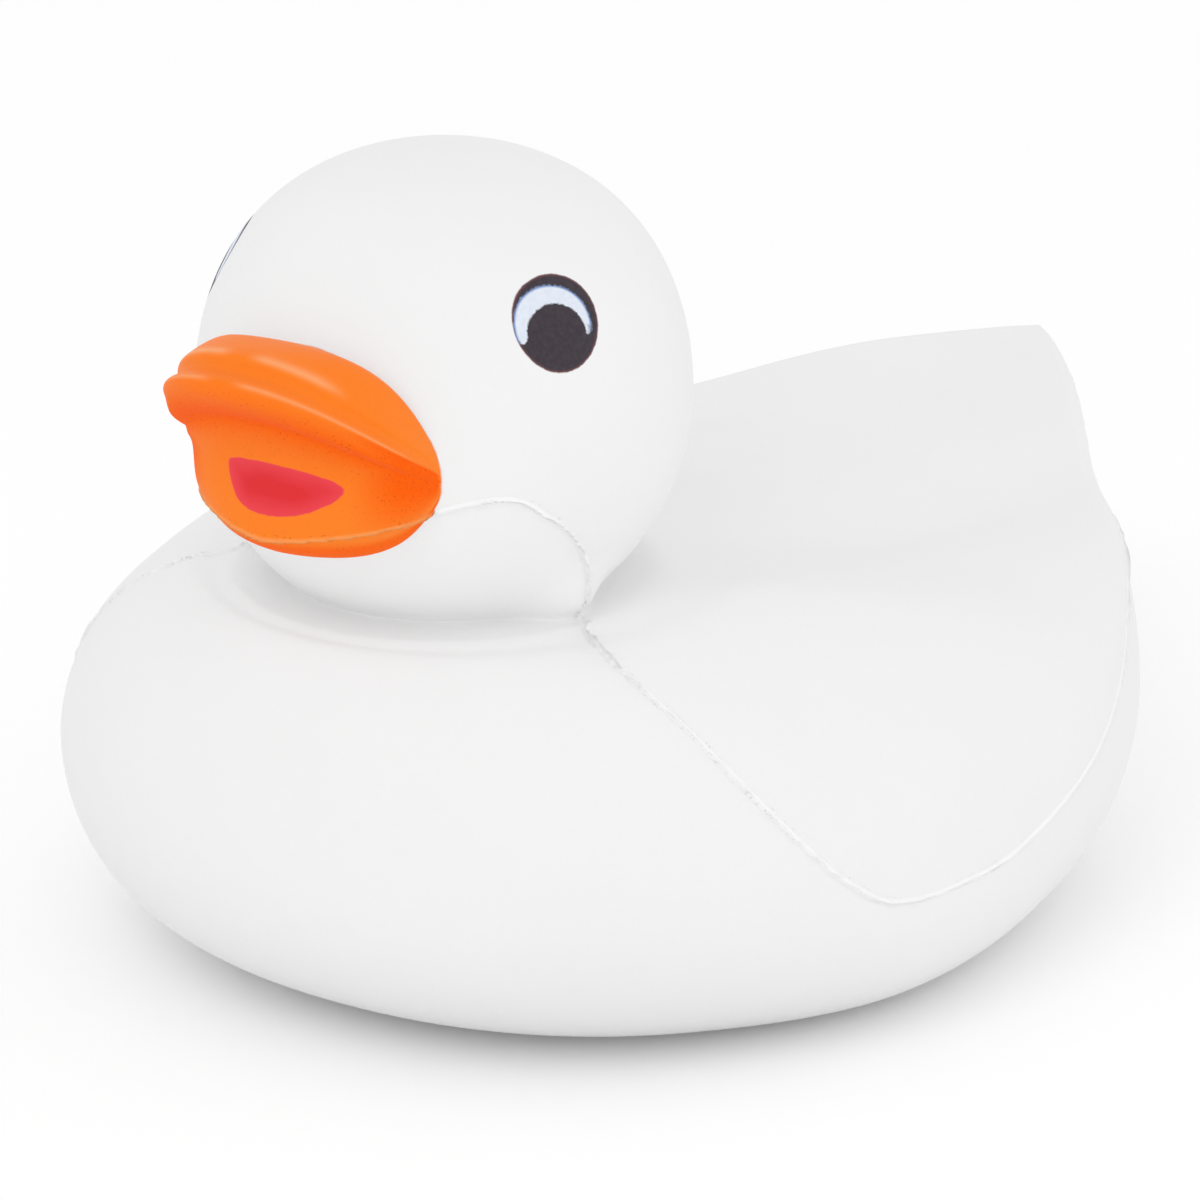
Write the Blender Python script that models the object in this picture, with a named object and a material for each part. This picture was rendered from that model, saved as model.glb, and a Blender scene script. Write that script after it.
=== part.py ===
"""Duck stress toy: a squeezable duck moulded in one piece of soft white foam.

The duck faces -Y, its own left side is +X, and it stands on its flat underside at z = 0. The whole skin is one
closed surface. It starts as a sphere whose columns run from the middle of the underside to the crown, and each
column is bent to the duck's own profile: underside, bowl, back or chest, neck crease, head, bill, crown.
"""

import math

import bmesh
import bpy

# The driving sizes, in metres. The other lengths follow from them.
BODY_LENGTH = 0.0714  # from the chest back to the stern, without the tail
BODY_WIDTH = 0.0648
BODY_HEIGHT = 0.0274  # up to the crease of the neck
HEAD_DIAMETER = 0.0304
BILL_LENGTH = 0.0084  # how far the bill stands out in front of the head

CHEST_REACH = 0.515 * BODY_LENGTH  # from the middle of the body forward to the chest
STERN_REACH = BODY_LENGTH - CHEST_REACH  # and back to the stern, under the tail
BODY_HALF_WIDTH = BODY_WIDTH / 2.0
CHEST_SQUARENESS = 2.22  # 2 is an ellipse in plan, more is fuller at the corners
STERN_SQUARENESS = 2.12
EQUATOR_HEIGHT = 0.49 * BODY_HEIGHT  # where the bowl is widest
STERN_LEAN = 1.04 * BODY_HEIGHT  # height over which the bowl would close above its widest line

BASE_HALF_WIDTH = 0.345 * BODY_WIDTH
BASE_HALF_LENGTH = 0.293 * BODY_LENGTH

TAIL_REACH = 0.255 * BODY_LENGTH  # how far the tail's point runs past the stern
TAIL_SPREAD = 16.0  # degrees either side of straight back
TAIL_TAPER = 1.15
TAIL_FLARE = 2.5  # how late the underside turns out to the tail
FLANK_DIP = 0.135 * BODY_HEIGHT  # the rim runs this much lower at the sides than at the chest
FLANK_RISE = 0.39 * BODY_HEIGHT  # then climbs this much over the hind quarters
TAIL_RISE = 0.066 * BODY_HEIGHT  # and this much more to the tail's point
RIM_ROUND = 0.04 * BODY_HEIGHT  # height of the round on the rim of the back
ROUND_WIDTH = 0.03  # width of that round, as a share of the way in to the neck
HIND_TUCK = 0.023 * BODY_WIDTH  # how far the rim draws in from the bowl's widest line over the hind quarters
SADDLE_DEPTH = 0.058 * BODY_HEIGHT  # hollow of the back between neck and tail
SHOULDER_SLOPE = 1.17  # 1 is an elliptical shoulder, more falls away sooner from the neck

HEAD_RADIUS = HEAD_DIAMETER / 2.0
HEAD_FULLNESS = 0.031  # how far the crown swells past a ball, as a share of the radius
HEAD_Y = 0.608 * HEAD_DIAMETER - CHEST_REACH  # the head stands over the front of the body
HEAD_HEIGHT = BODY_HEIGHT + 0.382 * HEAD_DIAMETER  # of the head's centre
NECK_RADIUS = 0.428 * HEAD_DIAMETER
NECK_TUCK = 41.0  # how far below its middle the head's ball runs down into the crease, in degrees

BILL_CORNER_TURN = 34.2  # the corners of the mouth, in degrees either side of straight ahead
BILL_CORNER_LIFT = -2.6  # and below the level of the head's centre
BILL_ROOT_TOP = 25.5  # where the bill's upper edge meets the head, straight ahead
BILL_ROOT_BOTTOM = -24.3
BILL_ALMOND = 1.85  # 2 rounds the upper edge off like an ellipse, less draws it nearer to a point
BILL_HEIGHT = 0.27 * HEAD_DIAMETER  # from the level of the head's centre up to the crest

# The bill's own lines, from its lower edge to its upper edge. Each runs round from corner to corner. Straight
# ahead it stands out by a share of the bill's length, and lies over the head's centre by a share of its height.
# The last two numbers say how late it falls back to the head on its way round: in reach, and in height.
BILL_LINES = (
    ("lower edge of the jaw", 0.19, -0.68, 1.5, 1.45),
    ("jaw's parting line", 0.46, -0.51, 1.7, 1.05),
    ("belly of the jaw", 0.41, -0.29, 3.5, 1.0),
    ("mouth hollow", 0.40, 0.12, 4.2, 0.8),
    ("jaw's upper rim", 0.50, 0.35, 3.7, 1.35),
    ("groove of the mouth", 0.41, 0.46, 3.4, 1.55),
    ("underside of the lip", 0.69, 0.51, 3.0, 1.8),
    ("front of the lip", 0.93, 0.65, 2.1, 1.6),
    ("brim of the lip", 0.90, 0.83, 2.3, 2.3),
    ("valley over the brim", 0.76, 0.90, 2.3, 2.0),
    ("crest", 0.67, 0.99, 2.6, 2.5),
    ("slope to the forehead", 0.26, 0.97, 2.6, 1.5),
)

# How many rings of faces each stretch of the profile takes.
BASE_RINGS = 3
BOWL_RINGS = 11
BACK_RINGS = 12
CREASE_RINGS = 4
CHIN_RINGS = 3
BILL_RINGS = 26
CROWN_RINGS = 9
RINGS = BASE_RINGS + BOWL_RINGS + BACK_RINGS + CREASE_RINGS + CHIN_RINGS + BILL_RINGS + CROWN_RINGS
COLUMNS = 84
FRONT_CROWDING = 0.35  # columns stand closer at the bill
END_CROWDING = 0.17  # and at the bill and the tail rather than the sides


def smooth(low, high, value):
    """Ease from 0 at low to 1 at high."""
    share = min(max((value - low) / (high - low), 0.0), 1.0)
    return share * share * (3.0 - 2.0 * share)


def blend(a, b, share):
    return a + (b - a) * share


def spline(p0, p1, p2, p3, t):
    """The stretch from p1 to p2 of a smooth curve through all four, at t from 0 to 1."""
    return 0.5 * (
        2.0 * p1
        + (p2 - p0) * t
        + (2.0 * p0 - 5.0 * p1 + 4.0 * p2 - p3) * t**2
        + (3.0 * p1 - p0 - 3.0 * p2 + p3) * t**3
    )


def outline(half_width, reach, squareness, turn):
    """Distance from the middle to a superellipse, turn being the angle from straight ahead."""
    across = abs(math.sin(turn)) / half_width
    along = abs(math.cos(turn)) / reach
    return (across**squareness + along**squareness) ** (-1.0 / squareness)


def bowl_reach(turn):
    """Widest reach of the bowl in the direction turn."""
    reach = blend(STERN_REACH, CHEST_REACH, 0.5 + 0.5 * math.cos(turn))
    hind = smooth(60.0, 120.0, abs(math.degrees(turn)))
    return outline(BODY_HALF_WIDTH, reach, blend(CHEST_SQUARENESS, STERN_SQUARENESS, hind), turn)


def rim_reach(turn):
    """Reach of the rim, where the underside ends and the back begins: the bowl, drawn out to the tail's point."""
    side = abs(math.degrees(turn))
    tail = TAIL_REACH * math.exp(-(((180.0 - side) / TAIL_SPREAD) ** TAIL_TAPER))
    tuck = HIND_TUCK * (smooth(95.0, 130.0, side) - smooth(150.0, 175.0, side))
    return bowl_reach(turn) - tuck + tail


def rim_height(turn):
    side = abs(math.degrees(turn))
    dip = FLANK_DIP * smooth(42.0, 72.0, side)
    rise = FLANK_RISE * smooth(70.0, 146.0, side)
    tail = TAIL_RISE * smooth(150.0, 172.0, side)
    return EQUATOR_HEIGHT - dip + rise + tail


def bowl_point(turn, share):
    """The outside of the bowl, from the edge of the underside (share 0) up to the rim (share 1)."""
    top = rim_height(turn)
    widest = min(EQUATOR_HEIGHT, top)
    foot = outline(BASE_HALF_WIDTH, BASE_HALF_LENGTH, 2.0, turn)
    full = bowl_reach(turn)

    def wall(height):
        if height <= widest:
            return foot + (full - foot) * math.sqrt(max(0.0, 1.0 - (1.0 - height / widest) ** 2))
        return full * math.sqrt(max(0.0, 1.0 - ((height - widest) / STERN_LEAN) ** 2))

    height = top * (1.0 - math.cos(share * math.pi / 2.0))
    flare = (height / top) ** TAIL_FLARE * (rim_reach(turn) - wall(top))
    return wall(height) + flare, height


def back_point(turn, share):
    """Chest, shoulders and back, from the rim (share 0) to the crease of the neck (share 1), in plan and height."""
    inward = 1.0 - math.cos(share * math.pi / 2.0)
    rim = rim_reach(turn)
    x = blend(rim * math.sin(turn), NECK_RADIUS * math.sin(turn), inward)
    y = blend(-rim * math.cos(turn), HEAD_Y - NECK_RADIUS * math.cos(turn), inward)
    low = rim_height(turn)
    dome = blend(low, BODY_HEIGHT, math.sin(share * math.pi / 2.0) ** SHOULDER_SLOPE)
    round_share = min(inward / ROUND_WIDTH, 1.0)
    edge = RIM_ROUND * math.sqrt(1.0 - (1.0 - round_share) ** 2)
    saddle = low + edge + (BODY_HEIGHT - low - edge) * inward**2 - SADDLE_DEPTH * math.sin(math.pi * inward)
    hind = smooth(100.0, 160.0, abs(math.degrees(turn)))
    return x, y, blend(dome, saddle, hind)


def head_profile(lift):
    """Reach from the head's axis and height over its centre: a ball that swells a little towards the crown."""
    radius = HEAD_RADIUS
    if lift > 0.0:
        radius *= 1.0 + HEAD_FULLNESS * math.sin(2.0 * lift) ** 2
    return radius * math.cos(lift), radius * math.sin(lift)


def head_point(turn, lift):
    """A point of the head, by its turn from straight ahead and its lift over the middle."""
    reach, height = head_profile(lift)
    return reach * math.sin(turn), HEAD_Y - reach * math.cos(turn), HEAD_HEIGHT + height


def bill_edges(turn):
    """Lower and upper edge of the bill on the head, as lifts: an almond between the corners of the mouth."""
    side = min(abs(math.degrees(turn)) / BILL_CORNER_TURN, 1.0)
    upper = (BILL_ROOT_TOP - BILL_CORNER_LIFT) * (1.0 - side**BILL_ALMOND) ** (1.0 / BILL_ALMOND)
    lower = (BILL_ROOT_BOTTOM - BILL_CORNER_LIFT) * math.sqrt(1.0 - side**2)
    return BILL_CORNER_LIFT + lower, BILL_CORNER_LIFT + upper


def band_edges(turn):
    """The lifts between which the bill's rings run, also round the back of the head, where they spread out."""
    low, high = bill_edges(turn)
    side = abs(math.degrees(turn))
    spread = 3.0 + 24.0 * smooth(BILL_CORNER_TURN, BILL_CORNER_TURN + 45.0, side)
    low = min(low, BILL_CORNER_LIFT - spread)
    high = max(high, BILL_CORNER_LIFT + spread)
    return math.radians(low), math.radians(high)


def bill_point(turn, share):
    """The bill between its lower edge (share 0) and its upper edge (share 1)."""
    low, high = band_edges(turn)
    side = min(abs(math.degrees(turn)) / BILL_CORNER_TURN, 1.0)
    stations = [head_profile(low)]
    for number, (name, out, up, late_reach, late_height) in enumerate(BILL_LINES, start=1):
        reach, height = head_profile(blend(low, high, number / (len(BILL_LINES) + 1)))
        ahead = max(1.0 - side**late_reach, 0.0) ** 1.15
        raised = max(1.0 - side**2.2, 0.0) ** late_height
        stations.append((
            blend(reach, HEAD_RADIUS + BILL_LENGTH * out, ahead),
            blend(height, BILL_HEIGHT * up, raised),
        ))
    stations.append(head_profile(high))
    place = share * (len(stations) - 1)
    index = min(int(place), len(stations) - 2)
    near = [stations[min(max(index + k, 0), len(stations) - 1)] for k in (-1, 0, 1, 2)]
    reach = spline(*[station[0] for station in near], place - index)
    height = spline(*[station[1] for station in near], place - index)
    return reach * math.sin(turn), HEAD_Y - reach * math.cos(turn), HEAD_HEIGHT + height


def duck_point(turn, ring):
    """Where a vertex of the skin lies, from its column's turn and its ring, counted up from the underside."""
    if ring <= BASE_RINGS:
        foot = outline(BASE_HALF_WIDTH, BASE_HALF_LENGTH, 2.0, turn) * ring / BASE_RINGS
        return foot * math.sin(turn), -foot * math.cos(turn), 0.0
    ring -= BASE_RINGS
    if ring <= BOWL_RINGS:
        reach, height = bowl_point(turn, ring / BOWL_RINGS)
        return reach * math.sin(turn), -reach * math.cos(turn), height
    ring -= BOWL_RINGS
    if ring <= BACK_RINGS:
        return back_point(turn, ring / BACK_RINGS)
    ring -= BACK_RINGS
    tuck = -math.radians(NECK_TUCK)
    low, high = band_edges(turn)
    if ring <= CREASE_RINGS:
        share = ring / CREASE_RINGS
        outer = back_point(turn, 1.0)
        inner = head_point(turn, tuck)
        inward = math.sin(share * math.pi / 2.0)
        upward = 1.0 - math.cos(share * math.pi / 2.0)
        return (
            blend(outer[0], inner[0], inward),
            blend(outer[1], inner[1], inward),
            blend(outer[2], inner[2], upward),
        )
    ring -= CREASE_RINGS
    if ring <= CHIN_RINGS:
        return head_point(turn, blend(tuck, low, ring / CHIN_RINGS))
    ring -= CHIN_RINGS
    if ring <= BILL_RINGS:
        share = ring / BILL_RINGS
        if abs(math.degrees(turn)) < BILL_CORNER_TURN:
            return bill_point(turn, share)
        return head_point(turn, blend(low, high, share))
    ring -= BILL_RINGS
    return head_point(turn, blend(high, math.pi / 2.0, ring / CROWN_RINGS))


def column_turn(longitude):
    """Spread of the columns: close together at the bill, a little closer at the tail than at the sides."""
    return (
        longitude
        - FRONT_CROWDING * math.sin(longitude)
        - END_CROWDING * math.sin(2.0 * longitude)
    )


def paint(name, colour, roughness):
    material = bpy.data.materials.new(name)
    material.use_nodes = True
    shader = material.node_tree.nodes["Principled BSDF"]
    shader.inputs["Base Color"].default_value = (*colour, 1.0)
    shader.inputs["Roughness"].default_value = roughness
    shader.inputs["Metallic"].default_value = 0.0
    material.diffuse_color = (*colour, 1.0)
    return material


for leftover in list(bpy.data.objects):
    bpy.data.objects.remove(leftover)

skin = bmesh.new()
bmesh.ops.create_uvsphere(skin, u_segments=COLUMNS, v_segments=RINGS, radius=1.0)
for vertex in skin.verts:
    x, y, z = vertex.co
    ring = round(RINGS * (0.5 + math.asin(max(min(z, 1.0), -1.0)) / math.pi))
    longitude = math.atan2(x, -y) if 0 < ring < RINGS else 0.0
    vertex.co = duck_point(column_turn(longitude), ring)
bmesh.ops.recalc_face_normals(skin, faces=skin.faces)

# The duck stands with the middle of its length, bill to tail, over the origin.
nearest = min(vertex.co.y for vertex in skin.verts)
farthest = max(vertex.co.y for vertex in skin.verts)
bmesh.ops.translate(skin, verts=skin.verts, vec=(0.0, -(nearest + farthest) / 2.0, 0.0))

mesh = bpy.data.meshes.new("foam_duck")
skin.to_mesh(mesh)
skin.free()
mesh.shade_smooth()
mesh.materials.append(paint("white_foam", (0.86, 0.86, 0.85), 0.55))
duck = bpy.data.objects.new("foam_duck", mesh)
bpy.context.scene.collection.objects.link(duck)
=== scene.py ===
"""Duck stress toy: the looks. White moulded foam with a mould seam, a painted bill and printed eyes.

The duck faces -Y, its own left side is +X, and it stands on the floor at z = 0. All lengths are in metres and
all angles in degrees, unless a name ends in mm.
"""

import math
import bmesh
import bpy
import numpy as np
from mathutils import Matrix, Vector, noise


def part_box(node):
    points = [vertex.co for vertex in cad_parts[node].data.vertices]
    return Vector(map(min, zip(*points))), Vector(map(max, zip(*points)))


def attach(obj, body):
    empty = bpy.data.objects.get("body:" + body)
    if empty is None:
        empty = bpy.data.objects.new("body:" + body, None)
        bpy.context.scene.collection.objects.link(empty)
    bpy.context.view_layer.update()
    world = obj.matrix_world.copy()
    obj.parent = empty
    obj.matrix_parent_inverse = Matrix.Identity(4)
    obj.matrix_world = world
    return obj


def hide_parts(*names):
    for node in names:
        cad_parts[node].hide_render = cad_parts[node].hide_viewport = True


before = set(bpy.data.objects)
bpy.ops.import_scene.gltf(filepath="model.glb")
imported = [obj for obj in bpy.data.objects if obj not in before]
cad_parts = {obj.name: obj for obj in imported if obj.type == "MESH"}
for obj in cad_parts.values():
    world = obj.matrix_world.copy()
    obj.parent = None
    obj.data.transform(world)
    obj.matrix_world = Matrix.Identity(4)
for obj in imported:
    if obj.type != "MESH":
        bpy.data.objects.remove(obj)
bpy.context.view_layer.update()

# The driving sizes. The other lengths follow from them, as in the moulded part.
BODY_LENGTH = 0.0714  # from the chest back to the stern, without the tail
BODY_WIDTH = 0.0648
BODY_HEIGHT = 0.0274  # up to the crease of the neck
HEAD_DIAMETER = 0.0304
BILL_LENGTH = 0.0084  # how far the bill stands out in front of the head

CHEST_REACH = 0.515 * BODY_LENGTH
STERN_REACH = BODY_LENGTH - CHEST_REACH
BODY_HALF_WIDTH = BODY_WIDTH / 2.0
CHEST_SQUARENESS = 2.22
STERN_SQUARENESS = 2.12
EQUATOR_HEIGHT = 0.49 * BODY_HEIGHT
STERN_LEAN = 1.04 * BODY_HEIGHT
BASE_HALF_WIDTH = 0.345 * BODY_WIDTH
BASE_HALF_LENGTH = 0.293 * BODY_LENGTH

TAIL_REACH = 0.255 * BODY_LENGTH
TAIL_SPREAD = 16.0
TAIL_TAPER = 1.15
TAIL_FLARE = 2.5
FLANK_DIP = 0.135 * BODY_HEIGHT
FLANK_RISE = 0.39 * BODY_HEIGHT
TAIL_RISE = 0.066 * BODY_HEIGHT
RIM_ROUND = 0.04 * BODY_HEIGHT
ROUND_WIDTH = 0.03
HIND_TUCK = 0.023 * BODY_WIDTH
SADDLE_DEPTH = 0.058 * BODY_HEIGHT
SHOULDER_SLOPE = 1.17

HEAD_RADIUS = HEAD_DIAMETER / 2.0
HEAD_FULLNESS = 0.031
HEAD_Y = 0.608 * HEAD_DIAMETER - CHEST_REACH
HEAD_HEIGHT = BODY_HEIGHT + 0.382 * HEAD_DIAMETER
NECK_RADIUS = 0.428 * HEAD_DIAMETER
NECK_TUCK = 49.0
COLLAR_DIP = 0.00008  # how far the collar's top sinks between its edge and the foot of the head
COLLAR_HOLLOW = 0.00022  # depth of the soft hollow in the chest below the collar
HOLLOW_PLACE = 0.88  # where it lies, from the rim (0) to the collar (1)
HOLLOW_WIDTH = 0.075
THROAT_CORNER = 0.0022  # how far the throat bulges out at its foot, beside the seam
THROAT_CORNER_TURN = 74.0
THROAT_CORNER_WIDTH = 13.0

BILL_CORNER_TURN = 34.2
BILL_CORNER_LIFT = -2.6
BILL_ROOT_TOP = 25.5
BILL_ROOT_BOTTOM = -24.3
BILL_ALMOND = 1.85
BILL_HEIGHT = 0.27 * HEAD_DIAMETER

# The bill's lines from the jaw's lower edge up to the forehead: how far each stands out straight ahead, as a
# share of the bill's length, how high it lies, as a share of its height, and how late it falls back to the head
# on its way round to the corner of the mouth, in reach and in height.
BILL_LINES = (
    (0.19, -0.68, 1.5, 1.45),  # lower edge of the jaw
    (0.46, -0.51, 1.7, 1.05),  # the jaw's seam
    (0.41, -0.29, 3.5, 1.0),  # belly of the jaw
    (0.40, 0.10, 4.2, 0.8),  # hollow with the mouth patch
    (0.48, 0.33, 3.7, 1.25),  # upper rim of the jaw
    (0.55, 0.45, 3.3, 1.45),  # groove of the mouth
    (0.76, 0.58, 2.8, 1.7),  # underside of the lip
    (0.92, 0.73, 2.2, 1.9),  # front of the lip
    (0.91, 0.86, 2.3, 2.3),  # brim of the lip
    (0.73, 0.88, 2.4, 2.6),  # valley over the brim
    (0.67, 0.99, 2.6, 2.5),  # crest
    (0.26, 0.97, 2.6, 1.5),  # slope to the forehead
)

# Where the orange is painted darker and more saturated, as painted shade: along the groove of the mouth, in the
# corner of the mouth and below the jaw's seam, where shade falls. Lines are counted as above, from 1, and turns
# are in degrees from straight ahead.
GROOVE_LINE = 6.3
GROOVE_WIDTH = 1.9
CORNER_TURNS = (13.0, 27.0)
CORNER_LINES = (2.0, 4.0, 8.4, 9.2)  # where it begins, is full, starts to fade and ends
BELOW_JAW_LINES = (1.7, 2.3)
BELOW_JAW_SHADE = 0.85

# Painted highlights, which make the orange paler along the bill's crest and brim: the line, the half width, the
# turns over which it fades, and its strength.
CREST_HIGHLIGHT = (11.0, 0.17, (13.0, 19.0), 1.0)
BRIM_HIGHLIGHT = (9.0, 0.16, (24.0, 31.0), 0.75)
HIGHLIGHT_TURNS = (1.0, 5.0)

# The seam where the two halves of the mould met, on the duck's left side, in millimetres from the middle of the
# body: along the jaw, up and over the cheek, down to the collar, and down the flank to the rim of the back,
# which it follows from there. The right side has the same.
SEAM_POINTS_MM = (
    (0.0, -37.4, 34.9), (2.3, -37.1, 35.1), (5.0, -35.8, 35.5), (7.1, -34.0, 35.9), (8.0, -31.2, 36.1),
    (9.0, -30.3, 36.5), (10.3, -29.3, 36.8), (11.4, -28.2, 36.8), (12.1, -27.2, 36.4), (12.5, -25.9, 35.4),
    (12.8, -24.9, 34.7), (12.9, -23.7, 33.6), (12.7, -22.3, 32.1), (12.4, -21.3, 30.4), (12.2, -21.3, 29.0),
    (12.0, -21.3, 27.9), (12.2, -21.7, 27.4), (12.9, -22.4, 27.4), (14.5, -23.7, 27.1), (15.7, -24.2, 26.5),
    (17.1, -24.5, 26.0), (20.1, -24.3, 23.8), (24.2, -23.0, 20.0), (26.3, -21.5, 17.1), (28.1, -19.3, 14.0),
    (28.9, -17.9, 12.6), (30.0, -16.0, 11.0), (30.6, -13.8, 10.3), (31.4, -10.8, 10.1), (32.2, -4.8, 10.6),
    (32.4, -1.7, 10.8),
)
SEAM_JOINS_RIM = (70.0, 84.0)  # degrees round from straight ahead
SEAM_NECK = 16  # the first of its points below the crease of the neck
SEAM_NECK_TURN = 75.0  # where it crosses the crease, and how far out that lies
SEAM_NECK_REACH_MM = 12.5
SEAM_RUN_ON_MM = 6.0  # how far both its stretches run on into the crease
RIM_REACH_MM = 6.0  # how near the rim a point takes its distance from the rim alone
FLASH_HEIGHT = 0.00012  # how far the flash left in the seam stands proud
FLASH_OVER_MM = 0.26  # its width above the seam and below it
FLASH_UNDER_MM = 0.20
THROAT_STEP = 0.00008  # how much lower the skin lies on the throat's side of the seam
STEP_WIDTH_MM = 2.2  # over which that evens out again
STEP_ENDS = (-0.016, -0.004)  # it fades between these places along the duck

# Where more of the flash was left: the place, how much higher it stands there, and over what length.
FLASH_LUMPS = (
    ((0.0150, -0.0238, 0.0267), 0.00030, 0.0032),  # where the seam leaves the collar
    ((0.0004, 0.0525, 0.0260), 0.00045, 0.0013),  # the tip of the tail
    ((-0.0072, 0.0440, 0.0258), 0.00030, 0.0034),  # the tail's right edge
    ((0.0262, 0.0262, 0.0200), 0.00022, 0.0060),  # the left edge of the back
)

# The eyes: their middle on the head, and their printed shapes, in degrees on the ball, across and up.
EYE_TURN = 65.5
EYE_LIFT = 30.7
EYE_HALF_WIDTH = 10.7
EYE_HALF_HEIGHT = 11.2
EYE_LEAN = 14.0
CRESCENT_OUTER = (-1.0, -0.9, 9.6)  # middle across, middle up, radius
CRESCENT_INNER = (-0.7, -3.1, 7.45)
CRESCENT_ENDS = -3.8  # how far down its points run
CRESCENT_TILT = -0.05  # and how much higher the front one ends

# The mouth patch painted on the jaw, seen from straight ahead, in millimetres from the middle of the head.
MOUTH_OUTLINE_MM = (
    (-2.95, -0.10), (-2.75, 0.40), (-1.60, 0.62), (0.20, 0.68), (2.20, 0.56), (4.10, 0.22),
    (5.05, -0.30), (4.80, -0.85), (3.90, -1.50), (2.50, -2.15), (1.00, -2.52), (-0.40, -2.60),
    (-1.60, -2.40), (-2.30, -1.90), (-2.75, -1.00),
)

# Rings and columns of the skin.
BASE_RINGS = 8
BOWL_RINGS = 44
BACK_RINGS = 66
CREASE_RINGS = 12
CHIN_RINGS = 14
BILL_RINGS = 104
CROWN_RINGS = 66
RIM_RING = BASE_RINGS + BOWL_RINGS
BILL_RING = RIM_RING + BACK_RINGS + CREASE_RINGS + CHIN_RINGS
RINGS = BILL_RING + BILL_RINGS + CROWN_RINGS
COLUMNS = 288
FRONT_CROWDING = 0.35
END_CROWDING = 0.17


def smooth(low, high, value):
    """Ease from 0 at low to 1 at high."""
    share = min(max((value - low) / (high - low), 0.0), 1.0)
    return share * share * (3.0 - 2.0 * share)


def blend(a, b, share):
    return a + (b - a) * share


def spline(p0, p1, p2, p3, t):
    """The stretch from p1 to p2 of a smooth curve through all four, at t from 0 to 1."""
    return 0.5 * (
        2.0 * p1
        + (p2 - p0) * t
        + (2.0 * p0 - 5.0 * p1 + 4.0 * p2 - p3) * t**2
        + (3.0 * p1 - p0 - 3.0 * p2 + p3) * t**3
    )


def smooth_line(points, steps, closed=False):
    """A curve through the points, with as many steps from each to the next."""
    points = np.array(points)
    count = len(points)
    curve = []
    for i in range(count if closed else count - 1):
        if closed:
            around = [points[(i + k) % count] for k in (-1, 0, 1, 2)]
        else:
            around = [points[min(max(i + k, 0), count - 1)] for k in (-1, 0, 1, 2)]
        curve.extend(spline(*around, step / steps) for step in range(steps))
    curve.append(points[0] if closed else points[-1])
    return np.array(curve)


def signed_distance(curve, x, y):
    """Distance of each (x, y) to the curve, positive on its left."""
    x = np.asarray(x, float)
    y = np.asarray(y, float)
    best = np.full(x.shape, np.inf)
    side = np.zeros(x.shape)
    for a, b in zip(curve[:-1], curve[1:]):
        run = b - a
        along = np.clip(((x - a[0]) * run[0] + (y - a[1]) * run[1]) / (run @ run), 0.0, 1.0)
        dx = x - a[0] - along * run[0]
        dy = y - a[1] - along * run[1]
        gap = dx * dx + dy * dy
        nearer = gap < best
        best[nearer] = gap[nearer]
        side[nearer] = (run[0] * dy - run[1] * dx)[nearer]
    return np.sqrt(best) * np.where(side >= 0.0, 1.0, -1.0)


def outline(half_width, reach, squareness, turn):
    """Distance from the middle to a superellipse, turn being the angle from straight ahead."""
    across = abs(math.sin(turn)) / half_width
    along = abs(math.cos(turn)) / reach
    return (across**squareness + along**squareness) ** (-1.0 / squareness)


def bowl_reach(turn):
    """Widest reach of the bowl in the direction turn."""
    reach = blend(STERN_REACH, CHEST_REACH, 0.5 + 0.5 * math.cos(turn))
    hind = smooth(60.0, 120.0, abs(math.degrees(turn)))
    return outline(BODY_HALF_WIDTH, reach, blend(CHEST_SQUARENESS, STERN_SQUARENESS, hind), turn)


def rim_reach(turn):
    """Reach of the rim, where the bowl ends and the back begins: the bowl, drawn out to the tail's point."""
    side = abs(math.degrees(turn))
    tail = TAIL_REACH * math.exp(-(((180.0 - side) / TAIL_SPREAD) ** TAIL_TAPER))
    tuck = HIND_TUCK * (smooth(95.0, 130.0, side) - smooth(150.0, 175.0, side))
    return bowl_reach(turn) - tuck + tail


def rim_height(turn):
    side = abs(math.degrees(turn))
    dip = FLANK_DIP * smooth(42.0, 72.0, side)
    rise = FLANK_RISE * smooth(70.0, 146.0, side)
    tail = TAIL_RISE * smooth(150.0, 172.0, side)
    return EQUATOR_HEIGHT - dip + rise + tail


def bowl_point(turn, share):
    """The outside of the bowl, from the edge of the underside (share 0) up to the rim (share 1)."""
    top = rim_height(turn)
    widest = min(EQUATOR_HEIGHT, top)
    foot = outline(BASE_HALF_WIDTH, BASE_HALF_LENGTH, 2.0, turn)
    full = bowl_reach(turn)

    def wall(height):
        if height <= widest:
            return foot + (full - foot) * math.sqrt(max(0.0, 1.0 - (1.0 - height / widest) ** 2))
        return full * math.sqrt(max(0.0, 1.0 - ((height - widest) / STERN_LEAN) ** 2))

    height = top * (1.0 - math.cos(share * math.pi / 2.0))
    flare = (height / top) ** TAIL_FLARE * (rim_reach(turn) - wall(top))
    return wall(height) + flare, height


def back_point(turn, share):
    """Chest, shoulders and back, from the rim (share 0) to the crease of the neck (share 1)."""
    inward = 1.0 - math.cos(share * math.pi / 2.0)
    rim = rim_reach(turn)
    x = blend(rim * math.sin(turn), NECK_RADIUS * math.sin(turn), inward)
    y = blend(-rim * math.cos(turn), HEAD_Y - NECK_RADIUS * math.cos(turn), inward)
    low = rim_height(turn)
    dome = blend(low, BODY_HEIGHT, math.sin(share * math.pi / 2.0) ** SHOULDER_SLOPE)
    round_share = min(inward / ROUND_WIDTH, 1.0)
    edge = RIM_ROUND * math.sqrt(1.0 - (1.0 - round_share) ** 2)
    saddle = low + edge + (BODY_HEIGHT - low - edge) * inward**2
    saddle -= SADDLE_DEPTH * math.sin(math.pi * inward)
    dome -= COLLAR_HOLLOW * math.exp(-(((inward - HOLLOW_PLACE) / HOLLOW_WIDTH) ** 2))
    hind = smooth(100.0, 160.0, abs(math.degrees(turn)))
    return x, y, blend(dome, saddle, hind)


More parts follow.
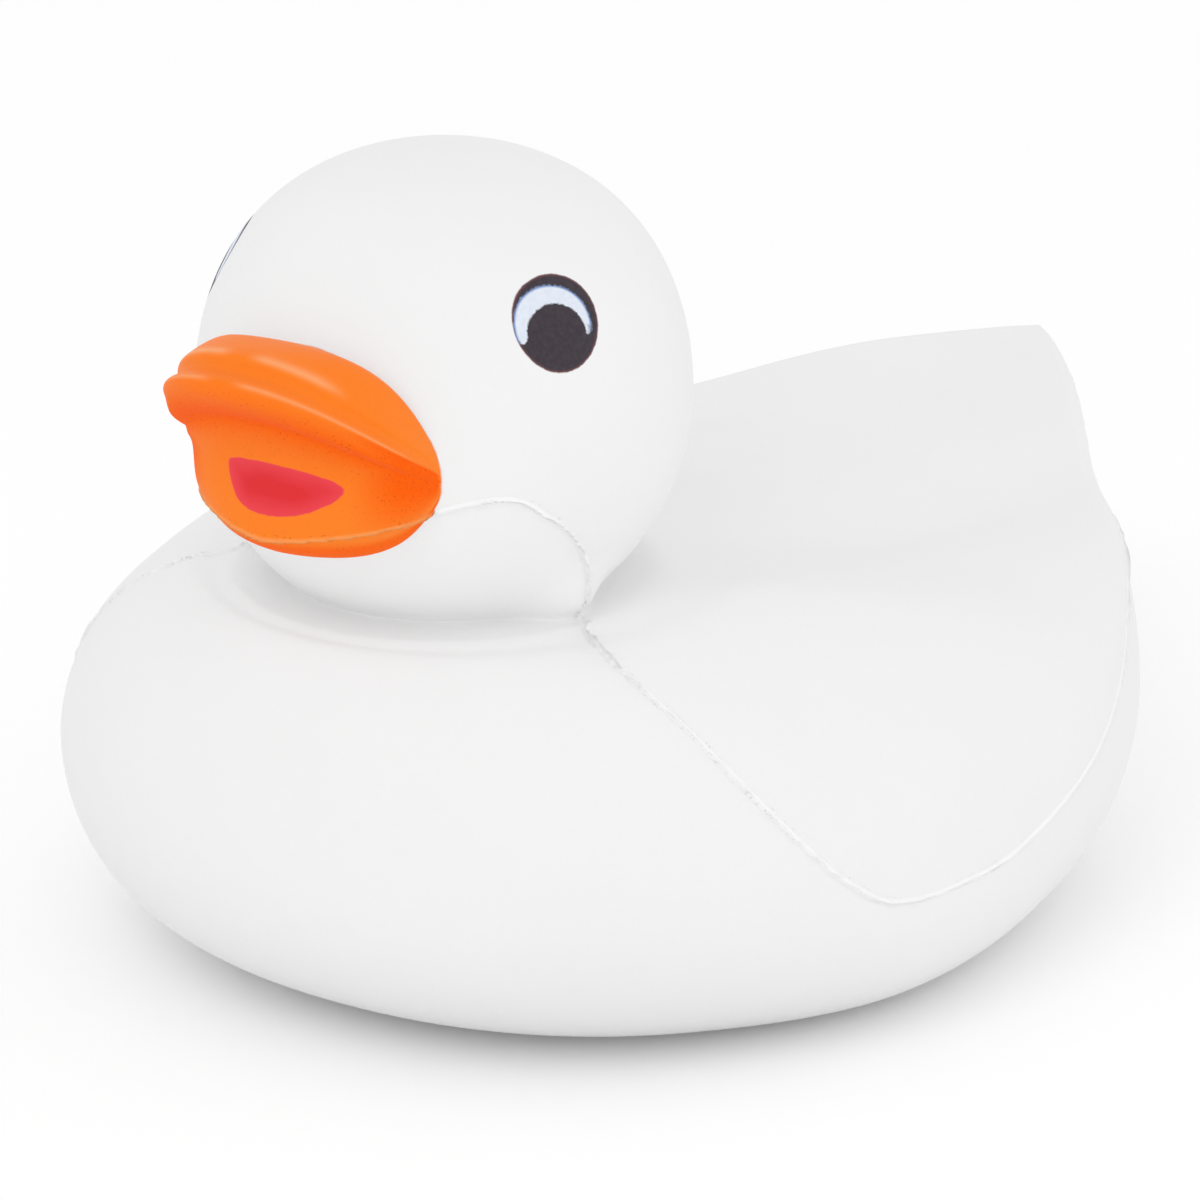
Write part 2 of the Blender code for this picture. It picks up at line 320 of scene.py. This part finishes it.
def head_profile(lift):
    """Reach from the head's axis and height over its centre: a ball that swells a little towards the crown."""
    radius = HEAD_RADIUS
    if lift > 0.0:
        radius *= 1.0 + HEAD_FULLNESS * math.sin(2.0 * lift) ** 2
    return radius * math.cos(lift), radius * math.sin(lift)


def head_point(turn, lift):
    """A point of the head, by its turn from straight ahead and its lift over the middle."""
    reach, height = head_profile(lift)
    return reach * math.sin(turn), HEAD_Y - reach * math.cos(turn), HEAD_HEIGHT + height


def bill_edges(turn):
    """Lower and upper edge of the bill on the head, as lifts: an almond between the corners of the mouth."""
    side = min(abs(math.degrees(turn)) / BILL_CORNER_TURN, 1.0)
    upper = (BILL_ROOT_TOP - BILL_CORNER_LIFT) * (1.0 - side**BILL_ALMOND) ** (1.0 / BILL_ALMOND)
    lower = (BILL_ROOT_BOTTOM - BILL_CORNER_LIFT) * math.sqrt(1.0 - side**2)
    return BILL_CORNER_LIFT + lower, BILL_CORNER_LIFT + upper


def band_edges(turn):
    """The lifts between which the bill's rings run; round the back of the head they spread out."""
    low, high = bill_edges(turn)
    side = abs(math.degrees(turn))
    spread = 3.0 + 24.0 * smooth(BILL_CORNER_TURN, BILL_CORNER_TURN + 45.0, side)
    low = min(low, BILL_CORNER_LIFT - spread)
    high = max(high, BILL_CORNER_LIFT + spread)
    return math.radians(low), math.radians(high)


def bill_point(turn, share):
    """The bill between its lower edge (share 0) and its upper edge (share 1)."""
    low, high = band_edges(turn)
    side = min(abs(math.degrees(turn)) / BILL_CORNER_TURN, 1.0)
    stations = [head_profile(low)]
    for number, (out, up, late_reach, late_height) in enumerate(BILL_LINES, start=1):
        reach, height = head_profile(blend(low, high, number / (len(BILL_LINES) + 1)))
        ahead = max(1.0 - side**late_reach, 0.0) ** 1.15
        raised = max(1.0 - side**2.2, 0.0) ** late_height
        stations.append((
            blend(reach, HEAD_RADIUS + BILL_LENGTH * out, ahead),
            blend(height, BILL_HEIGHT * up, raised),
        ))
    stations.append(head_profile(high))
    place = share * (len(stations) - 1)
    index = min(int(place), len(stations) - 2)
    near = [stations[min(max(index + k, 0), len(stations) - 1)] for k in (-1, 0, 1, 2)]
    reach = spline(*[station[0] for station in near], place - index)
    height = spline(*[station[1] for station in near], place - index)
    return reach * math.sin(turn), HEAD_Y - reach * math.cos(turn), HEAD_HEIGHT + height


def throat_point(turn, share):
    """The underside of the head, from its foot in the neck (share 0) up to the bill's lowest ring (share 1)."""
    reach, height = head_profile(blend(-math.radians(NECK_TUCK), band_edges(turn)[0], share))
    side = (abs(math.degrees(turn)) - THROAT_CORNER_TURN) / THROAT_CORNER_WIDTH
    reach += THROAT_CORNER * math.exp(-(side**2)) * (1.0 - smooth(0.0, 1.0, share))
    return reach * math.sin(turn), HEAD_Y - reach * math.cos(turn), HEAD_HEIGHT + height


def crease_point(turn, share):
    """The collar, from the edge of the body's top (share 0) in to the foot of the head (share 1)."""
    outer = back_point(turn, 1.0)
    inner = throat_point(turn, 0.0)
    inward = math.sin(share * math.pi / 2.0)
    upward = 1.0 - math.cos(share * math.pi / 2.0)
    return (
        blend(outer[0], inner[0], inward),
        blend(outer[1], inner[1], inward),
        blend(outer[2], inner[2], upward) - COLLAR_DIP * math.sin(math.pi * share),
    )


def duck_point(turn, ring):
    """Where a vertex of the skin lies, from its column's turn and its ring, counted up from the underside."""
    if ring <= BASE_RINGS:
        foot = outline(BASE_HALF_WIDTH, BASE_HALF_LENGTH, 2.0, turn) * ring / BASE_RINGS
        return foot * math.sin(turn), -foot * math.cos(turn), 0.0
    if ring <= RIM_RING:
        reach, height = bowl_point(turn, (ring - BASE_RINGS) / BOWL_RINGS)
        return reach * math.sin(turn), -reach * math.cos(turn), height
    if ring <= RIM_RING + BACK_RINGS:
        return back_point(turn, (ring - RIM_RING) / BACK_RINGS)
    if ring <= RIM_RING + BACK_RINGS + CREASE_RINGS:
        return crease_point(turn, (ring - RIM_RING - BACK_RINGS) / CREASE_RINGS)
    if ring <= BILL_RING:
        return throat_point(turn, (ring - BILL_RING + CHIN_RINGS) / CHIN_RINGS)
    low, high = band_edges(turn)
    if ring <= BILL_RING + BILL_RINGS:
        share = (ring - BILL_RING) / BILL_RINGS
        if abs(math.degrees(turn)) < BILL_CORNER_TURN:
            return bill_point(turn, share)
        return head_point(turn, blend(low, high, share))
    share = (ring - BILL_RING - BILL_RINGS) / CROWN_RINGS
    return head_point(turn, blend(high, math.pi / 2.0, share))


def column_turn(longitude):
    """Spread of the columns: closest at the bill, a little closer at the tail than at the sides."""
    return (
        longitude
        - FRONT_CROWDING * math.sin(longitude)
        - END_CROWDING * math.sin(2.0 * longitude)
    )


def bill_edge_mm(turn, lift):
    """Roughly how far inside the bill's painted edge a point of the head lies."""
    side = abs(turn) / BILL_CORNER_TURN
    rise = lift - BILL_CORNER_LIFT
    if rise >= 0.0:
        top = rise / (BILL_ROOT_TOP - BILL_CORNER_LIFT)
        size = (side**BILL_ALMOND + top**BILL_ALMOND) ** (1.0 / BILL_ALMOND)
    else:
        size = math.hypot(side, rise / (BILL_ROOT_BOTTOM - BILL_CORNER_LIFT))
    return (1.0 - size) * HEAD_RADIUS * 1000.0 * math.radians(BILL_ROOT_TOP)


def eye_marks(turn, lift):
    """How far inside the printed eye, its crescent and the crescent's outer rim a point lies, in millimetres."""
    across = (turn - EYE_TURN) * math.cos(math.radians(lift))
    up = lift - EYE_LIFT
    degree_mm = HEAD_RADIUS * 1000.0 * math.radians(1.0)
    lean = math.radians(EYE_LEAN)
    wide = across * math.cos(lean) - up * math.sin(lean)
    tall = across * math.sin(lean) + up * math.cos(lean)
    eye = (1.0 - math.hypot(wide / EYE_HALF_WIDTH, tall / EYE_HALF_HEIGHT)) * EYE_HALF_WIDTH
    outer = CRESCENT_OUTER[2] - math.hypot(across - CRESCENT_OUTER[0], up - CRESCENT_OUTER[1])
    inner = math.hypot(across - CRESCENT_INNER[0], up - CRESCENT_INNER[1]) - CRESCENT_INNER[2]
    ends = up - CRESCENT_ENDS - CRESCENT_TILT * across
    return eye * degree_mm, min(outer, inner, ends) * degree_mm, outer * degree_mm


def painted_shade(station, side):
    """How much the orange on the bill is painted darker as painted shade, by the line counted from the jaw and
    the turn in degrees.
    """
    begin, full, fade, end = CORNER_LINES
    groove = math.exp(-(((station - GROOVE_LINE) / GROOVE_WIDTH) ** 2))
    corner = smooth(*CORNER_TURNS, side) * smooth(begin, full, station) * (1.0 - smooth(fade, end, station))
    below = BELOW_JAW_SHADE * (1.0 - smooth(*BELOW_JAW_LINES, station))
    return max(groove, corner, below)


def painted_highlight(station, side):
    """How strong the painted highlight is along the bill's crest and brim."""
    highlight = 0.0
    for line, half_width, fades, strength in (CREST_HIGHLIGHT, BRIM_HIGHLIGHT):
        on_line = math.exp(-(((station - line) / half_width) ** 2)) * (1.0 - smooth(*fades, side))
        highlight = max(highlight, strength * on_line)
    return highlight * smooth(*HIGHLIGHT_TURNS, side)


def mark_head(skin, layers, turns, rings):
    """Notes on each vertex how far inside the bill, the eyes and the mouth patch it lies."""
    shape = smooth_line(MOUTH_OUTLINE_MM, 6, closed=True)
    places = np.array([vertex.co[:] for vertex in skin.verts]) * 1000.0
    patch = -signed_distance(shape, places[:, 0], places[:, 2] - HEAD_HEIGHT * 1000.0)
    for number, vertex in enumerate(skin.verts):
        turn = math.degrees(turns[number])
        ring = rings[number]
        for name in ("bill_mm", "mouth_mm", "eye_mm", "crescent_mm", "halo_mm"):
            vertex[layers[name]] = -9.0
        if ring < BILL_RING - CHIN_RINGS:
            continue
        share = (ring - BILL_RING) / BILL_RINGS
        low, high = band_edges(turns[number])
        if 0.0 <= share <= 1.0:
            lift = math.degrees(blend(low, high, share))
        else:
            out = vertex.co - Vector((0.0, HEAD_Y, HEAD_HEIGHT))
            lift = math.degrees(math.atan2(out.z, math.hypot(out.x, out.y)))
        edge = bill_edge_mm(turn, lift)
        vertex[layers["bill_mm"]] = edge
        eye, crescent, halo = eye_marks(abs(turn), lift)
        vertex[layers["eye_mm"]] = eye
        vertex[layers["crescent_mm"]] = crescent
        vertex[layers["halo_mm"]] = halo
        if edge > 0.0:
            station = share * (len(BILL_LINES) + 1)
            vertex[layers["groove"]] = painted_shade(station, abs(turn))
            vertex[layers["ridge"]] = painted_highlight(station, abs(turn))
            if share < 0.5:
                vertex[layers["mouth_mm"]] = float(patch[number])


def seam_distance(points_mm, places, normals):
    """Distance of each place on the skin to a stretch of the seam, above and behind it positive."""
    curve = smooth_line(points_mm, 6) / 1000.0
    flip = np.where(places[:, :1] < 0.0, -1.0, 1.0) * (1.0, 0.0, 0.0) + (0.0, 1.0, 1.0)
    places = places * flip
    normals = normals * flip
    best = np.full(len(places), np.inf)
    side = np.zeros(len(places))
    for a, b in zip(curve[:-1], curve[1:]):
        run = b - a
        along = np.clip((places - a) @ run / (run @ run), 0.0, 1.0)
        off = places - a - along[:, None] * run
        gap = (off**2).sum(axis=1)
        nearer = gap < best
        best[nearer] = gap[nearer]
        side[nearer] = (off * np.cross(normals, run)).sum(axis=1)[nearer]
    return np.sqrt(best) * np.where(side >= 0.0, 1.0, -1.0)


def mark_seam(skin, layer, turns, rings):
    """Notes each vertex's distance to the seam in millimetres: the drawn line in front, the rim behind."""
    skin.normal_update()
    places = np.array([vertex.co[:] for vertex in skin.verts])
    normals = np.array([vertex.normal[:] for vertex in skin.verts])
    neck_turn = math.radians(SEAM_NECK_TURN)
    inside = (
        SEAM_RUN_ON_MM * math.sin(neck_turn),
        HEAD_Y * 1000.0 - SEAM_RUN_ON_MM * math.cos(neck_turn),
        BODY_HEIGHT * 1000.0,
    )
    x, y, z = SEAM_POINTS_MM[SEAM_NECK - 1]
    head_points = (*SEAM_POINTS_MM[:SEAM_NECK], (x, y, z - SEAM_RUN_ON_MM))
    body_points = (inside, *SEAM_POINTS_MM[SEAM_NECK:])
    on_head = seam_distance(head_points, places, normals) * 1000.0
    on_body = seam_distance(body_points, places, normals) * 1000.0
    for number, vertex in enumerate(skin.verts):
        turn = turns[number]
        crease = rings[number] - RIM_RING - BACK_RINGS
        gap = float(on_body[number] if crease < CREASE_RINGS / 2 else on_head[number])
        neck = smooth(-2.0, 1.0, crease) - smooth(CREASE_RINGS - 1.0, CREASE_RINGS + 2.0, crease)
        if neck > 0.0:
            round_mm = (abs(turn) - neck_turn) * SEAM_NECK_REACH_MM
            gap = math.copysign(blend(abs(gap), abs(round_mm), neck), round_mm)
        hind = smooth(*SEAM_JOINS_RIM, abs(math.degrees(turn)))
        if hind > 0.0 and rings[number] <= RIM_RING + BACK_RINGS:
            rim = rim_reach(turn)
            foot = Vector((rim * math.sin(turn), -rim * math.cos(turn), rim_height(turn)))
            to_rim = (vertex.co - foot).length * 1000.0
            if to_rim < RIM_REACH_MM:
                gap = blend(gap, to_rim if rings[number] >= RIM_RING else -to_rim, hind)
        vertex[layer] = gap


def cut_along(skin, layer, level):
    """Runs an edge loop through the skin where the layer's value is the level, and returns its vertices."""
    near = 0.03
    on_line = {vertex for vertex in skin.verts if abs(vertex[layer] - level) < near}
    for edge in list(skin.edges):
        a, b = edge.verts
        if a in on_line or b in on_line:
            continue
        gap_a = a[layer] - level
        gap_b = b[layer] - level
        if gap_a * gap_b < 0.0 and abs(gap_a) + abs(gap_b) < 5.0:
            fresh = bmesh.utils.edge_split(edge, a, gap_a / (gap_a - gap_b))[1]
            fresh[layer] = level
            on_line.add(fresh)
    bmesh.ops.connect_verts(skin, verts=list(on_line), check_degenerate=False)
    return on_line


def raise_seam(skin, layer):
    """The flash that the mould left along the seam, and the small step from the cheek down to the throat."""
    ridge = cut_along(skin, layer, 0.0)
    cut_along(skin, layer, FLASH_OVER_MM)
    cut_along(skin, layer, -FLASH_UNDER_MM)
    skin.normal_update()
    moves = []
    for vertex in skin.verts:
        gap = vertex[layer]
        if vertex in ridge:
            uneven = 1.0 + 0.5 * noise.noise(vertex.co * 1100.0) + 0.5 * noise.noise(vertex.co * 2900.0)
            height = FLASH_HEIGHT
            for place, extra, length in FLASH_LUMPS:
                height += extra * math.exp(-(((vertex.co - Vector(place)).length / length) ** 2))
            moves.append((vertex, vertex.normal * height * uneven))
        elif -STEP_WIDTH_MM < gap < 0.0:
            away = smooth(FLASH_UNDER_MM, STEP_WIDTH_MM, -gap)
            front = 1.0 - smooth(*STEP_ENDS, vertex.co.y)
            moves.append((vertex, vertex.normal * -THROAT_STEP * (1.0 - away) * front))
    for vertex, move in moves:
        vertex.co = vertex.co + move


def build_duck():
    """The duck's skin, one closed surface, with its seam raised and its edges of paint measured."""
    skin = bmesh.new()
    bmesh.ops.create_uvsphere(skin, u_segments=COLUMNS, v_segments=RINGS, radius=1.0)
    names = ("seam_mm", "bill_mm", "mouth_mm", "eye_mm", "crescent_mm", "halo_mm", "groove", "ridge")
    layers = {name: skin.verts.layers.float.new(name) for name in names}
    turns = []
    rings = []
    for vertex in skin.verts:
        x, y, z = vertex.co
        ring = round(RINGS * (0.5 + math.asin(max(min(z, 1.0), -1.0)) / math.pi))
        longitude = math.atan2(x, -y) if 0 < ring < RINGS else 0.0
        turns.append(column_turn(longitude))
        rings.append(ring)
        vertex.co = duck_point(turns[-1], ring)
    bmesh.ops.recalc_face_normals(skin, faces=skin.faces)
    mark_head(skin, layers, turns, rings)
    mark_seam(skin, layers["seam_mm"], turns, rings)
    raise_seam(skin, layers["seam_mm"])
    bmesh.ops.translate(skin, verts=skin.verts, vec=(0.0, BODY_Y, 0.0))
    mesh = bpy.data.meshes.new("duck_skin")
    skin.to_mesh(mesh)
    skin.free()
    mesh.shade_smooth()
    piece = bpy.data.objects.new("duck_skin", mesh)
    bpy.context.scene.collection.objects.link(piece)
    return piece


# The tail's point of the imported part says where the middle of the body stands.
BODY_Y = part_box("foam_duck")[1][1] - rim_reach(math.pi)


def new_group(name, inputs, outputs):
    """An empty shader group with its sockets, given as (name, kind, value) and (name, kind)."""
    group = bpy.data.node_groups.new(name, "ShaderNodeTree")
    for label, kind, value in inputs:
        group.interface.new_socket(label, in_out="INPUT", socket_type=kind).default_value = value
    for label, kind in outputs:
        group.interface.new_socket(label, in_out="OUTPUT", socket_type=kind)
    return group, group.nodes.new("NodeGroupInput"), group.nodes.new("NodeGroupOutput")


def feed(tree, value, socket):
    """Sets a socket to a number or colour, or links it to another socket."""
    if isinstance(value, bpy.types.NodeSocket):
        tree.links.new(value, socket)
    elif isinstance(value, tuple) and socket.type == "RGBA":
        socket.default_value = (*value, 1.0)
    else:
        socket.default_value = value


def calc(tree, operation, a, b=0.0, clamp=False):
    node = tree.nodes.new("ShaderNodeMath")
    node.operation = operation
    node.use_clamp = clamp
    feed(tree, a, node.inputs[0])
    feed(tree, b, node.inputs[1])
    return node.outputs[0]


def grain_of(tree, place, scale, detail=2.0, roughness=0.5):
    node = tree.nodes.new("ShaderNodeTexNoise")
    feed(tree, scale, node.inputs["Scale"])
    node.inputs["Detail"].default_value = detail
    node.inputs["Roughness"].default_value = roughness
    tree.links.new(place, node.inputs["Vector"])
    return node.outputs["Fac"]


def mixed(tree, mask, a, b):
    """Colour a where the mask is 0 and colour b where it is 1."""
    node = tree.nodes.new("ShaderNodeMix")
    node.data_type = "RGBA"
    feed(tree, mask, node.inputs["Factor"])
    first, second = [socket for socket in node.inputs if socket.type == "RGBA"]
    feed(tree, a, first)
    feed(tree, b, second)
    return [socket for socket in node.outputs if socket.type == "RGBA"][0]


def between(tree, mask, a, b):
    """Value a where the mask is 0 and value b where it is 1."""
    node = tree.nodes.new("ShaderNodeMix")
    node.data_type = "FLOAT"
    feed(tree, mask, node.inputs["Factor"])
    feed(tree, a, node.inputs["A"])
    feed(tree, b, node.inputs["B"])
    return node.outputs["Result"]


def measure(tree, name):
    """A distance in millimetres that the skin carries."""
    node = tree.nodes.new("ShaderNodeAttribute")
    node.attribute_name = name
    return node.outputs["Fac"]


def ink_edge_group():
    """A mask from a distance to an edge, with the raggedness of a pad print or a brushed edge."""
    group, entry, leave = new_group(
        "ink_edge",
        (
            ("Distance", "NodeSocketFloat", 0.0),
            ("Softness", "NodeSocketFloat", 0.05),
            ("Wander", "NodeSocketFloat", 0.05),
            ("Grain", "NodeSocketFloat", 1500.0),
        ),
        (("Mask", "NodeSocketFloat"),),
    )
    place = group.nodes.new("ShaderNodeTexCoord").outputs["Object"]
    ragged = grain_of(group, place, entry.outputs["Grain"], detail=4.0)
    wander = calc(group, "MULTIPLY", calc(group, "SUBTRACT", ragged, 0.5), entry.outputs["Wander"])
    edge = calc(group, "ADD", entry.outputs["Distance"], wander)
    edge = calc(group, "DIVIDE", edge, entry.outputs["Softness"])
    group.links.new(calc(group, "ADD", edge, 0.5, clamp=True), leave.inputs["Mask"])
    return group


def band(tree, distance, centre, half_width):
    """1 on a line at the given distance, falling to 0 at half a width on both sides of it."""
    off = calc(tree, "ABSOLUTE", calc(tree, "SUBTRACT", distance, centre))
    return calc(tree, "SUBTRACT", 1.0, calc(tree, "DIVIDE", off, half_width), clamp=True)


def duck_finish():
    """White foam skin, brushed orange bill, red mouth patch and printed eyes in one material."""
    material = bpy.data.materials.new("painted_foam")
    material.use_nodes = True
    tree = material.node_tree
    shader = tree.nodes["Principled BSDF"]
    place = tree.nodes.new("ShaderNodeTexCoord").outputs["Object"]
    edge_group = ink_edge_group()

    def edge_mask(name, softness, wander, grain):
        node = tree.nodes.new("ShaderNodeGroup")
        node.node_tree = edge_group
        node.inputs["Softness"].default_value = softness
        node.inputs["Wander"].default_value = wander
        node.inputs["Grain"].default_value = grain
        tree.links.new(measure(tree, name), node.inputs["Distance"])
        return node.outputs["Mask"]

    bill = edge_mask("bill_mm", 0.10, 0.20, 900.0)
    mouth = edge_mask("mouth_mm", 0.08, 0.16, 1500.0)
    eye = edge_mask("eye_mm", 0.08, 0.12, 2500.0)
    crescent = edge_mask("crescent_mm", 0.10, 0.24, 4200.0)
    seam = measure(tree, "seam_mm")
    groove = measure(tree, "groove")
    ridge = measure(tree, "ridge")

    cloudy = grain_of(tree, place, 90.0, detail=3.0)
    fine = grain_of(tree, place, 3200.0, detail=3.0)
    swell = grain_of(tree, place, 420.0)
    crumbs = grain_of(tree, place, 5200.0, detail=2.0, roughness=0.7)

    # The flash is painted paler than the skin, a painted highlight on its raised edge,
    # with a few dark crumbs in the slit just below it.
    flash_and_highlight = calc(tree, "MULTIPLY", band(tree, seam, 0.08, 0.26), calc(tree, "ADD", fine, 0.7), clamp=True)
    slit = band(tree, seam, -0.09, 0.15)
    torn = calc(tree, "MULTIPLY", calc(tree, "SUBTRACT", crumbs, 0.56), 9.0, clamp=True)
    above = calc(tree, "MULTIPLY", band(tree, seam, 0.36, 0.14), 0.7)
    torn = calc(tree, "MULTIPLY", torn, calc(tree, "ADD", slit, above), clamp=True)
    patchy = calc(tree, "MULTIPLY", calc(tree, "SUBTRACT", swell, 0.42), 6.0, clamp=True)
    torn = calc(tree, "MULTIPLY", torn, patchy)

    white = mixed(tree, cloudy, (0.882, 0.882, 0.882), (0.910, 0.910, 0.910))
    # Painted highlight: the flash is made near white on the foam.
    white = mixed(tree, flash_and_highlight, white, (0.99, 0.99, 0.99))
    white = mixed(tree, calc(tree, "MULTIPLY", torn, 0.45), white, (0.40, 0.38, 0.37))
    orange = mixed(tree, cloudy, (1.0, 0.200, 0.008), (1.0, 0.250, 0.022))
    # Painted shade: the orange is made darker and more saturated in the groove and corner of the mouth and below
    # the jaw's seam.
    orange = mixed(tree, groove, orange, mixed(tree, fine, (1.0, 0.100, 0.0), (1.0, 0.140, 0.0)))
    pits = calc(tree, "MULTIPLY", calc(tree, "SUBTRACT", crumbs, 0.60), 8.0, clamp=True)
    pits = calc(tree, "MULTIPLY", pits, calc(tree, "ADD", calc(tree, "MULTIPLY", groove, 0.40), 0.10))
    orange = mixed(tree, pits, orange, (0.35, 0.03, 0.0))
    # Painted highlight: the orange is made paler along the bill's crest and brim.
    orange = mixed(tree, calc(tree, "MULTIPLY", ridge, 0.55), orange, (1.0, 0.52, 0.26))
    # Painted highlight on the flash where it crosses the orange paint.
    orange = mixed(tree, calc(tree, "MULTIPLY", flash_and_highlight, 0.5), orange, (1.0, 0.46, 0.17))
    orange = mixed(tree, calc(tree, "MULTIPLY", torn, 0.9), orange, (0.20, 0.02, 0.002))
    # The patch is deeper red in its middle, where the brush left more.
    deep = calc(tree, "MULTIPLY", measure(tree, "mouth_mm"), calc(tree, "ADD", swell, 0.35), clamp=True)
    red = mixed(tree, deep, (0.86, 0.060, 0.080), (0.76, 0.030, 0.036))
    black = mixed(tree, fine, (0.036, 0.028, 0.037), (0.074, 0.062, 0.073))
    pale = mixed(tree, fine, (0.66, 0.73, 0.86), (0.86, 0.90, 0.96))
    # Light thrown back from the paint onto the foam is paler than the paint itself.
    path = tree.nodes.new("ShaderNodeLightPath")
    thrown = calc(tree, "MULTIPLY", path.outputs["Is Diffuse Ray"], 0.85)
    orange = mixed(tree, thrown, orange, (0.9, 0.9, 0.9))
    colour = mixed(tree, bill, white, orange)
    colour = mixed(tree, mouth, colour, red)
    # The print shows a brownish rim round the black, and a blue one round the outside of the crescent.
    rim = band(tree, measure(tree, "eye_mm"), 0.03, 0.14)
    black = mixed(tree, calc(tree, "MULTIPLY", rim, 0.7), black, (0.22, 0.075, 0.08))
    blue = band(tree, measure(tree, "halo_mm"), 0.02, 0.15)
    pale = mixed(tree, calc(tree, "MULTIPLY", blue, 0.9), pale, (0.06, 0.17, 0.50))
    colour = mixed(tree, eye, colour, black)
    colour = mixed(tree, crescent, colour, pale)
    feed(tree, colour, shader.inputs["Base Color"])

    painted = between(tree, groove, between(tree, fine, 0.40, 0.56), 0.85)
    roughness = between(tree, bill, 0.55, painted)
    roughness = between(tree, eye, roughness, 0.42)
    feed(tree, roughness, shader.inputs["Roughness"])
    shader.inputs["Specular IOR Level"].default_value = 0.12

    relief = calc(tree, "ADD", calc(tree, "MULTIPLY", fine, 0.30), swell)
    relief = calc(tree, "ADD", relief, calc(tree, "MULTIPLY", flash_and_highlight, 0.5))
    relief = calc(tree, "SUBTRACT", relief, calc(tree, "MULTIPLY", torn, 0.8))
    bump = tree.nodes.new("ShaderNodeBump")
    bump.inputs["Strength"].default_value = 0.25
    bump.inputs["Distance"].default_value = 0.0002
    feed(tree, relief, bump.inputs["Height"])
    feed(tree, bump.outputs["Normal"], shader.inputs["Normal"])
    return material


duck = build_duck()
duck.data.materials.append(duck_finish())
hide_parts("foam_duck")
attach(duck, "root")


# The floor, the light and the camera.
FLOOR_HALF_SIZE = 3.0
CAMERA_TURN = 33.87
CAMERA_RISE = 20.38
CAMERA_ROLL = 0.456
CAMERA_DISTANCE = 0.5575
CAMERA_LENS = 264.0
CAMERA_AIM = Vector((-0.00064, BODY_Y - 0.00047, 0.01948))
SKY_LEVEL = 0.88
FLOOR_WHITE = (0.97, 0.97, 0.97)
FLOOR_GLOW = (0.06, 0.06, 0.06)  # what the camera sees on top of the lit floor
LAMPS = (  # name, place, what it aims at, size and power
    ("key", (0.10, -0.75, 0.85), (0.0, 0.0, 0.02), 0.5, 0.9),
    ("right_fill", (0.50, 0.33, 0.05), (0.0, 0.0, 0.015), 0.3, 0.28),
    ("front_fill", (0.33, -0.50, 0.13), (0.0, 0.0, 0.02), 0.3, 0.20),
)


def backdrop_seen(tree):
    """1 for rays of the camera, gloss and glass, which see the backdrop as white, and 0 for its own light."""
    path = tree.nodes.new("ShaderNodeLightPath")
    seen = calc(tree, "MAXIMUM", path.outputs["Is Camera Ray"], path.outputs["Is Glossy Ray"])
    return calc(tree, "MAXIMUM", seen, path.outputs["Is Transmission Ray"])


def build_floor():
    """A white sweep, which the camera sees as pure white where nothing shades it."""
    ground = bmesh.new()
    bmesh.ops.create_grid(ground, x_segments=1, y_segments=1, size=FLOOR_HALF_SIZE)
    mesh = bpy.data.meshes.new("floor")
    ground.to_mesh(mesh)
    ground.free()
    floor = bpy.data.objects.new("floor", mesh)
    bpy.context.scene.collection.objects.link(floor)
    material = bpy.data.materials.new("white_sweep")
    material.use_nodes = True
    tree = material.node_tree
    shader = tree.nodes["Principled BSDF"]
    colour = mixed(tree, backdrop_seen(tree), FLOOR_WHITE, (1.0, 1.0, 1.0))
    feed(tree, colour, shader.inputs["Base Color"])
    shader.inputs["Roughness"].default_value = 0.8
    shader.inputs["Specular IOR Level"].default_value = 0.0
    glow = mixed(tree, backdrop_seen(tree), (0.0, 0.0, 0.0), FLOOR_GLOW)
    feed(tree, glow, shader.inputs["Emission Color"])
    shader.inputs["Emission Strength"].default_value = 1.0
    mesh.materials.append(material)


def build_world():
    world = bpy.data.worlds.new("studio")
    world.use_nodes = True
    tree = world.node_tree
    background = tree.nodes["Background"]
    background.inputs["Color"].default_value = (1.0, 1.0, 1.0, 1.0)
    feed(tree, between(tree, backdrop_seen(tree), SKY_LEVEL, 1.0), background.inputs["Strength"])
    bpy.context.scene.world = world


def softbox(name, place, aim, size, power):
    lamp = bpy.data.lights.new(name, "AREA")
    lamp.shape = "SQUARE"
    lamp.size = size
    lamp.energy = power
    holder = bpy.data.objects.new(name, lamp)
    holder.location = place
    holder.rotation_euler = (Vector(place) - Vector(aim)).to_track_quat("Z", "Y").to_euler()
    bpy.context.scene.collection.objects.link(holder)


def build_camera():
    turn = math.radians(CAMERA_TURN)
    rise = math.radians(CAMERA_RISE)
    back = Vector((math.sin(turn) * math.cos(rise), -math.cos(turn) * math.cos(rise), math.sin(rise)))
    lens = bpy.data.cameras.new("camera")
    lens.lens = CAMERA_LENS
    lens.sensor_width = 36.0
    lens.clip_start = 0.01
    camera = bpy.data.objects.new("camera", lens)
    level = back.to_track_quat("Z", "Y").to_matrix().to_4x4()
    tilt = Matrix.Rotation(math.radians(-CAMERA_ROLL), 4, "Z")
    camera.matrix_world = Matrix.Translation(CAMERA_AIM + back * CAMERA_DISTANCE) @ level @ tilt
    bpy.context.scene.collection.objects.link(camera)
    bpy.context.scene.camera = camera


build_floor()
build_world()
for lamp_details in LAMPS:
    softbox(*lamp_details)
build_camera()
bpy.context.scene.view_settings.view_transform = "Standard"
